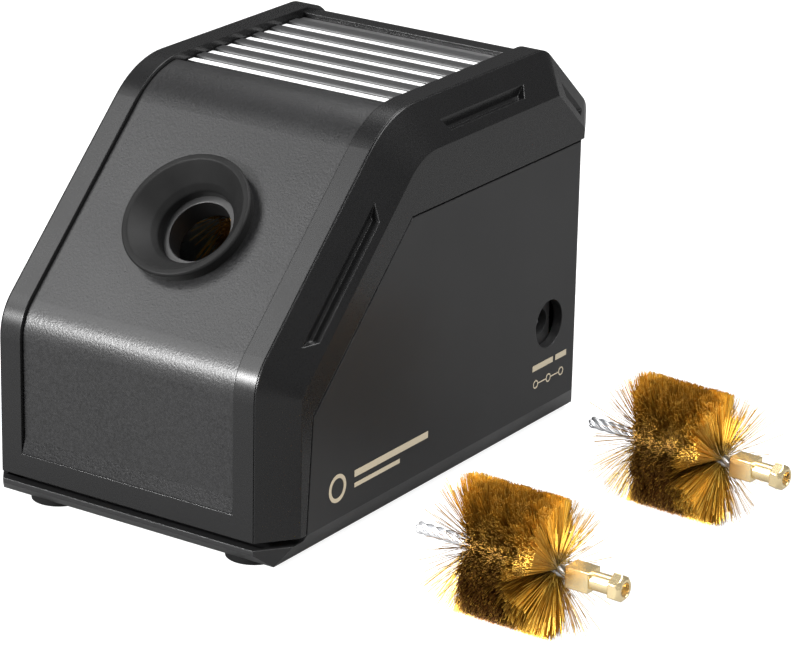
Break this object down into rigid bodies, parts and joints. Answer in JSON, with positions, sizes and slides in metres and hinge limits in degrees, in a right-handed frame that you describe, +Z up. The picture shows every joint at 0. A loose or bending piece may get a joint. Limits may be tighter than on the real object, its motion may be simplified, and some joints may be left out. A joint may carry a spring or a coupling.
{
  "type": "powered soldering tip cleaner",
  "caption": "Bench tip cleaner with a sloped rubber mouth, geared twin brass brushes under a lift-off hood, a louvred top and loose spare brushes beside it.",
  "frame": {"origin": "on the bench, midway between the four feet", "axes": "+Z up, +Y to the rear, +X to the side with the power inlet and the spare brushes"},
  "size_m": [0.1717, 0.1436, 0.099],
  "materials": {
    "housing": "fine matt moulding",
    "hood": "fine grain",
    "panel": "fine grained black powder coat",
    "rubber": "matt moulded rubber",
    "grille": "satin",
    "trim": "bright silver film",
    "sleeve": "satin",
    "tray": "satin",
    "plate": "zinc plated sheet",
    "screw": "zinc plated",
    "spacer": "turned",
    "bush": "sintered bronze",
    "steel": "ground",
    "motor": "plated",
    "cap": "moulded",
    "magnet": "ferrite",
    "gear": "acetal",
    "spindle": "glass filled nylon",
    "lamp": "tinted lens",
    "board": "solder mask",
    "chip": "moulded",
    "wire": "bright twisted wire",
    "bristle": "brass wire tuft",
    "ferrule": "bright pale brass"
  },
  "bodies": {
    "base": {"lower_housing": "housing", "rubber_feet": "rubber", "residue_tray": "tray", "outer_gear_plate": "plate", "inner_gear_plate": "plate", "gearbox_spacers": "spacer", "gearbox_screws": "screw", "bearing_bracket": "plate", "chassis_screws": "screw", "outer_bearing_bushes": "bush", "inner_bearing_bushes": "bush", "idler_pin": "steel", "motor_can": "motor", "motor_end_cap": "cap", "motor_magnets": "magnet", "sensor_emitter": "lamp", "sensor_receiver": "lamp", "control_board": "board", "board_screws": "screw", "jack_body": "chip", "jack_centre_pin": "steel", "jack_contact": "steel", "motor_switch_chip": "chip", "board_capacitor": "chip", "logic_chip": "chip", "lead_header": "cap"},
    "hood": {"hood_shell": "hood", "left_bezel": "hood", "right_bezel": "hood", "front_panel": "panel", "mouth_funnel": "rubber", "guide_sleeve": "sleeve", "sleeve_screws": "screw", "louvre_grille": "grille", "louvre_trim_strips": "trim"},
    "upper_brush": {"upper_drive_spindle": "spindle", "upper_brush_gear": "gear", "upper_brush_core_wire": "wire", "upper_brush_bristles": "bristle", "upper_brush_ferrule_block": "ferrule", "upper_brush_hex_shank": "ferrule"},
    "lower_brush": {"lower_drive_spindle": "spindle", "lower_brush_gear": "gear", "lower_brush_core_wire": "wire", "lower_brush_bristles": "bristle", "lower_brush_ferrule_block": "ferrule", "lower_brush_hex_shank": "ferrule"},
    "idler": {"idler_gear": "gear"},
    "motor_rotor": {"motor_shaft": "steel", "motor_armature": "motor", "motor_pinion": "gear"},
    "front_spare_brush": {"front_spare_core_wire": "wire", "front_spare_bristles": "bristle", "front_spare_ferrule_block": "ferrule", "front_spare_hex_shank": "ferrule"},
    "rear_spare_brush": {"rear_spare_core_wire": "wire", "rear_spare_bristles": "bristle", "rear_spare_ferrule_block": "ferrule", "rear_spare_hex_shank": "ferrule"}
  },
  "joints": [
    {"name": "hood_lift", "type": "slide", "parent": "base", "child": "hood", "axis": [0, 0, 1], "range_m": [0, 0.12]},
    {"name": "upper_brush_spin", "type": "hinge", "parent": "base", "child": "upper_brush", "pos_m": [0, -0.01329, 0.06424], "axis": [1, 0, 0], "continuous": true},
    {"name": "lower_brush_spin", "type": "hinge", "parent": "base", "child": "lower_brush", "pos_m": [0, -0.03775, 0.04062], "axis": [1, 0, 0], "continuous": true},
    {"name": "idler_spin", "type": "hinge", "parent": "base", "child": "idler", "pos_m": [0, 0.01396, 0.05432], "axis": [1, 0, 0], "continuous": true},
    {"name": "motor_spin", "type": "hinge", "parent": "base", "child": "motor_rotor", "pos_m": [0, 0.02852, 0.04211], "axis": [1, 0, 0], "continuous": true},
    {"name": "front_spare_lift", "type": "slide", "parent": "base", "child": "front_spare_brush", "axis": [0, 0, 1], "range_m": [0, 0.06]},
    {"name": "rear_spare_lift", "type": "slide", "parent": "base", "child": "rear_spare_brush", "axis": [0, 0, 1], "range_m": [0, 0.06]}
  ],
  "couplings": [
    {"joint": "lower_brush_spin", "follows": "upper_brush_spin", "ratio": -1},
    {"joint": "idler_spin", "follows": "upper_brush_spin", "ratio": -1.4167},
    {"joint": "motor_spin", "follows": "upper_brush_spin", "ratio": 2.4286}
  ]
}
